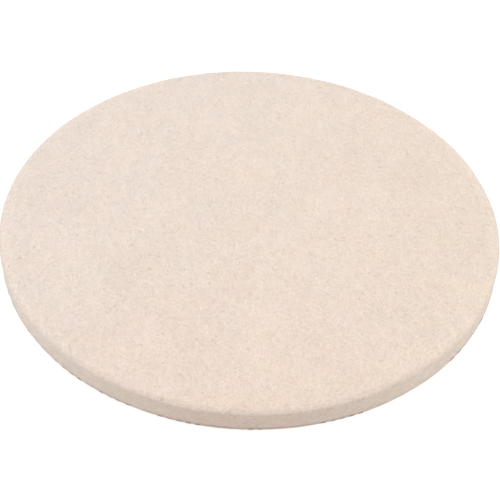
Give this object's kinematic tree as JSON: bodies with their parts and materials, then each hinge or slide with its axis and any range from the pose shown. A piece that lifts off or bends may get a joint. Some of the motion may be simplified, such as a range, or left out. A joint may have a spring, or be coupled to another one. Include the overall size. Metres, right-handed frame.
{
  "type": "felt polishing wheel",
  "caption": "Round self-adhesive felt polishing pad for a lapidary flat lap: pressed wool felt on double-coated film, with a peel-off release liner underneath.",
  "frame": {"origin": "on the wheel's axis at the release liner's underside, the face it rests on", "axes": "+Z along the wheel's axis, up out of the polishing face; +X and +Y are any two radii at a right angle, since nothing marks one"},
  "size_m": [0.1524, 0.1524, 0.0067],
  "materials": {
    "felt": "matte cream pressed wool felt, with fine crossing fibres",
    "adhesive": "tacky, slightly glossy pressure-sensitive adhesive",
    "film": "clear polyester film",
    "liner": "coated release paper, satin"
  },
  "bodies": {
    "liner": {"release_liner": "liner"},
    "wheel": {"plate_side_adhesive": "adhesive", "carrier_film": "film", "felt_side_adhesive": "adhesive", "felt_disc": "felt"}
  },
  "joints": [
    {"name": "lift_off_liner", "type": "slide", "parent": "liner", "child": "wheel", "axis": [0, 0, 1], "range_m": [0, 0.03]}
  ]
}
